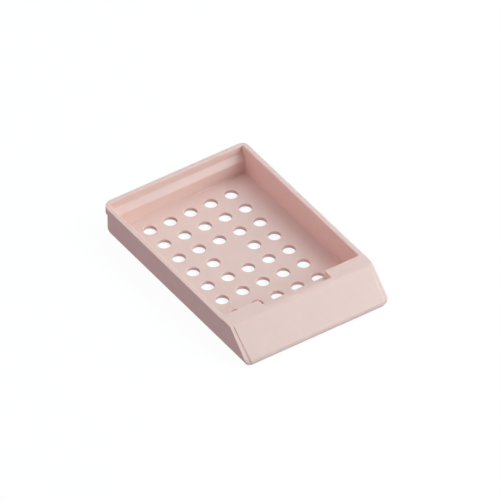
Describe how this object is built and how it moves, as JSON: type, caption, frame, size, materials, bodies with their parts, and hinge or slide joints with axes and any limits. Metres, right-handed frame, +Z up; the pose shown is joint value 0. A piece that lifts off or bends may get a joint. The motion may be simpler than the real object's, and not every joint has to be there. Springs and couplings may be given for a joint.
{
  "type": "tissue cassette base",
  "caption": "Shallow open tray with a perforated floor, a latch notch in its front ledge and a slanted writing face, for holding tissue samples.",
  "frame": {"origin": "centre of the part's box at the level of the table", "axes": "+X across the cassette, +Y from the slanted writing face towards the back wall, +Z up"},
  "size_m": [0.0286, 0.0424, 0.0057],
  "materials": {
    "moulded_acetal": "satin moulded acetal, pale pink"
  },
  "bodies": {
    "root": {"cassette_base": "moulded_acetal"}
  },
  "joints": []
}
